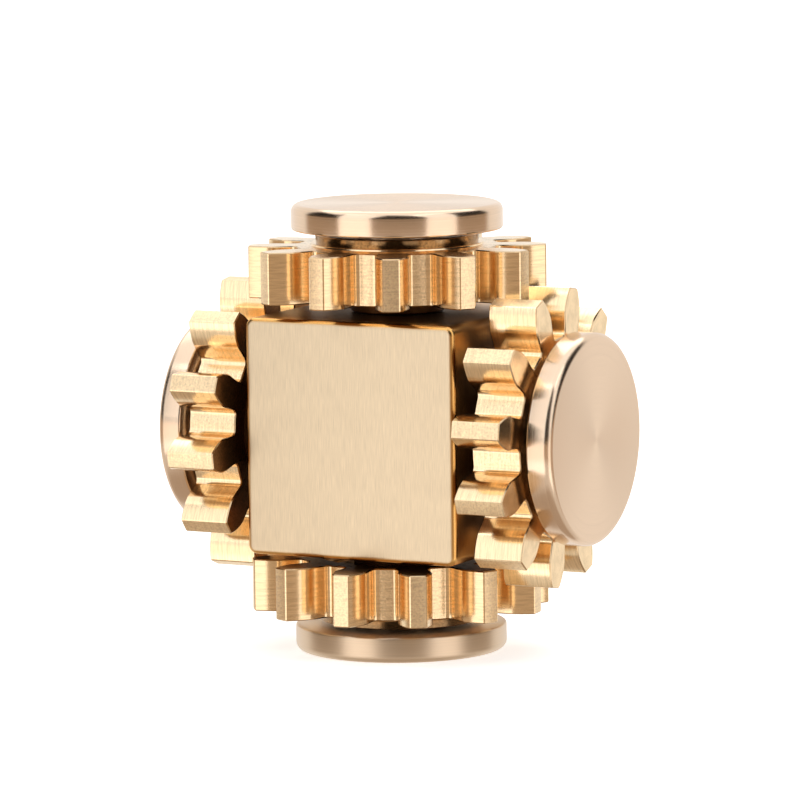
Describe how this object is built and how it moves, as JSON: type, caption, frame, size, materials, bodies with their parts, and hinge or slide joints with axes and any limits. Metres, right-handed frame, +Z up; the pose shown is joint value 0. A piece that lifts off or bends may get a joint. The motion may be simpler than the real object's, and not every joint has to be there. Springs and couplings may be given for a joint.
{
  "type": "fidget cube",
  "caption": "Solid brass block with bearing-mounted spur gears on its top, bottom and sides that mesh at right angles over its edges, under round button caps.",
  "frame": {"origin": "centre of the bottom cap's outer face, which the cube stands on", "axes": "+Z up along the top and bottom gears' axis, +X along the right gear's axis, -Y is the front face"},
  "size_m": [0.0516, 0.035, 0.0528],
  "materials": {
    "block_brass": "vertical brushed satin",
    "gear_brass": "milled, lightly polished flanks",
    "cap_brass": "turned satin",
    "bearing_steel": "ground",
    "shield_steel": "stamped",
    "cage_steel": "polished balls in a pressed cage",
    "stud_steel": "black oxide"
  },
  "bodies": {
    "cube": {"body_block": "block_brass", "top_cap": "cap_brass", "top_stud": "stud_steel", "top_spacer": "gear_brass", "top_bearing_inner_ring": "bearing_steel", "right_cap": "cap_brass", "right_stud": "stud_steel", "right_spacer": "gear_brass", "right_bearing_inner_ring": "bearing_steel", "bottom_cap": "cap_brass", "bottom_stud": "stud_steel", "bottom_spacer": "gear_brass", "bottom_bearing_inner_ring": "bearing_steel", "left_cap": "cap_brass", "left_stud": "stud_steel", "left_spacer": "gear_brass", "left_bearing_inner_ring": "bearing_steel"},
    "top_gear": {"top_gear": "gear_brass", "top_bearing_outer_ring": "bearing_steel", "top_bearing_outer_shield": "shield_steel", "top_bearing_inner_shield": "shield_steel"},
    "top_balls": {"top_bearing_ball_cage": "cage_steel"},
    "right_gear": {"right_gear": "gear_brass", "right_bearing_outer_ring": "bearing_steel", "right_bearing_outer_shield": "shield_steel", "right_bearing_inner_shield": "shield_steel"},
    "right_balls": {"right_bearing_ball_cage": "cage_steel"},
    "bottom_gear": {"bottom_gear": "gear_brass", "bottom_bearing_outer_ring": "bearing_steel", "bottom_bearing_outer_shield": "shield_steel", "bottom_bearing_inner_shield": "shield_steel"},
    "bottom_balls": {"bottom_bearing_ball_cage": "cage_steel"},
    "left_gear": {"left_gear": "gear_brass", "left_bearing_outer_ring": "bearing_steel", "left_bearing_outer_shield": "shield_steel", "left_bearing_inner_shield": "shield_steel"},
    "left_balls": {"left_bearing_ball_cage": "cage_steel"}
  },
  "joints": [
    {"name": "top_gear_spin", "type": "hinge", "parent": "cube", "child": "top_gear", "pos_m": [0, 0, 0.026], "axis": [0, 0, 1], "continuous": true},
    {"name": "right_gear_spin", "type": "hinge", "parent": "cube", "child": "right_gear", "pos_m": [0, 0, 0.026], "axis": [1, 0, 0], "continuous": true},
    {"name": "bottom_gear_spin", "type": "hinge", "parent": "cube", "child": "bottom_gear", "pos_m": [0, 0, 0.026], "axis": [0, 0, 1], "continuous": true},
    {"name": "left_gear_spin", "type": "hinge", "parent": "cube", "child": "left_gear", "pos_m": [0, 0, 0.026], "axis": [1, 0, 0], "continuous": true},
    {"name": "top_balls_spin", "type": "hinge", "parent": "cube", "child": "top_balls", "pos_m": [0, 0, 0.026], "axis": [0, 0, 1], "continuous": true},
    {"name": "right_balls_spin", "type": "hinge", "parent": "cube", "child": "right_balls", "pos_m": [0, 0, 0.026], "axis": [1, 0, 0], "continuous": true},
    {"name": "bottom_balls_spin", "type": "hinge", "parent": "cube", "child": "bottom_balls", "pos_m": [0, 0, 0.026], "axis": [0, 0, 1], "continuous": true},
    {"name": "left_balls_spin", "type": "hinge", "parent": "cube", "child": "left_balls", "pos_m": [0, 0, 0.026], "axis": [1, 0, 0], "continuous": true}
  ],
  "couplings": [
    {"joint": "right_gear_spin", "follows": "top_gear_spin", "ratio": -1},
    {"joint": "bottom_gear_spin", "follows": "top_gear_spin", "ratio": -1},
    {"joint": "left_gear_spin", "follows": "top_gear_spin", "ratio": 1},
    {"joint": "top_balls_spin", "follows": "top_gear_spin", "ratio": 0.6},
    {"joint": "right_balls_spin", "follows": "top_gear_spin", "ratio": -0.6},
    {"joint": "bottom_balls_spin", "follows": "top_gear_spin", "ratio": -0.6},
    {"joint": "left_balls_spin", "follows": "top_gear_spin", "ratio": 0.6}
  ]
}
